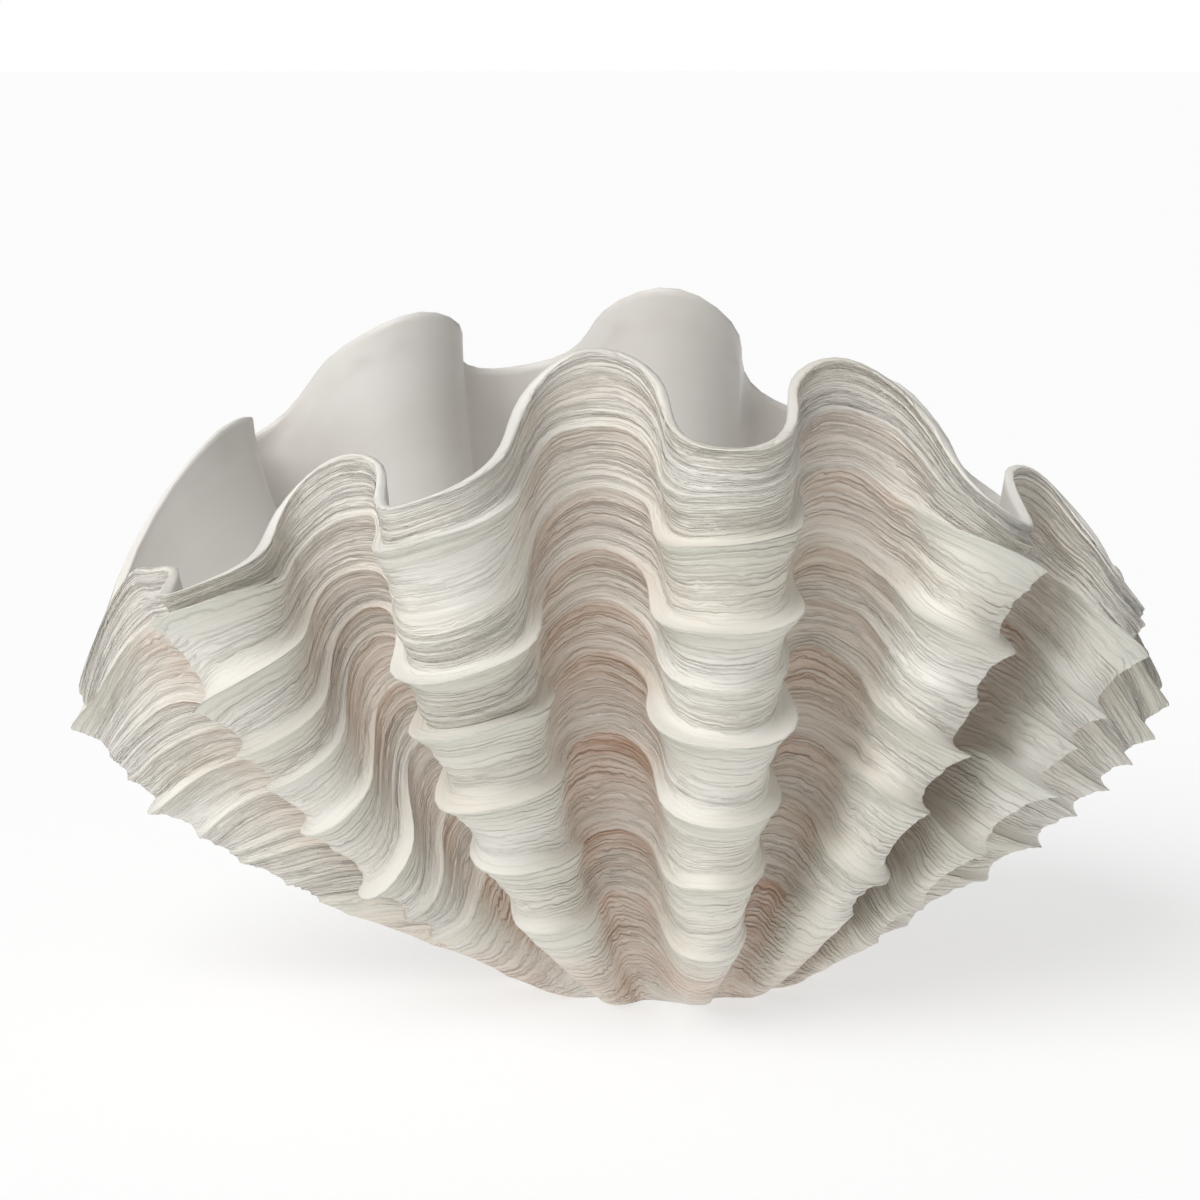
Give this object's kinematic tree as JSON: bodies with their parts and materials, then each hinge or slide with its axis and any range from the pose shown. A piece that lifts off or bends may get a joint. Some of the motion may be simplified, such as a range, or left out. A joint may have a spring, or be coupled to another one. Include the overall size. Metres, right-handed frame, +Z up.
{
  "type": "giant clam shell",
  "caption": "Large clam shell standing open as a bowl, with a deeply waved rim, radiating folds that carry flared scutes outside, and a smooth hollow inside.",
  "frame": {"origin": "middle of the bounding box's base, level with the flat foot", "axes": "+X along the shell's length, towards its shorter end; -Y to the front wall; +Z up, out of the open hollow"},
  "size_m": [0.6194, 0.3982, 0.387],
  "materials": {
    "shell": "chalky cream outside with tan-stained grooves and fine growth lines, satin off-white inside"
  },
  "bodies": {
    "root": {"clam_shell": "shell"}
  },
  "joints": []
}
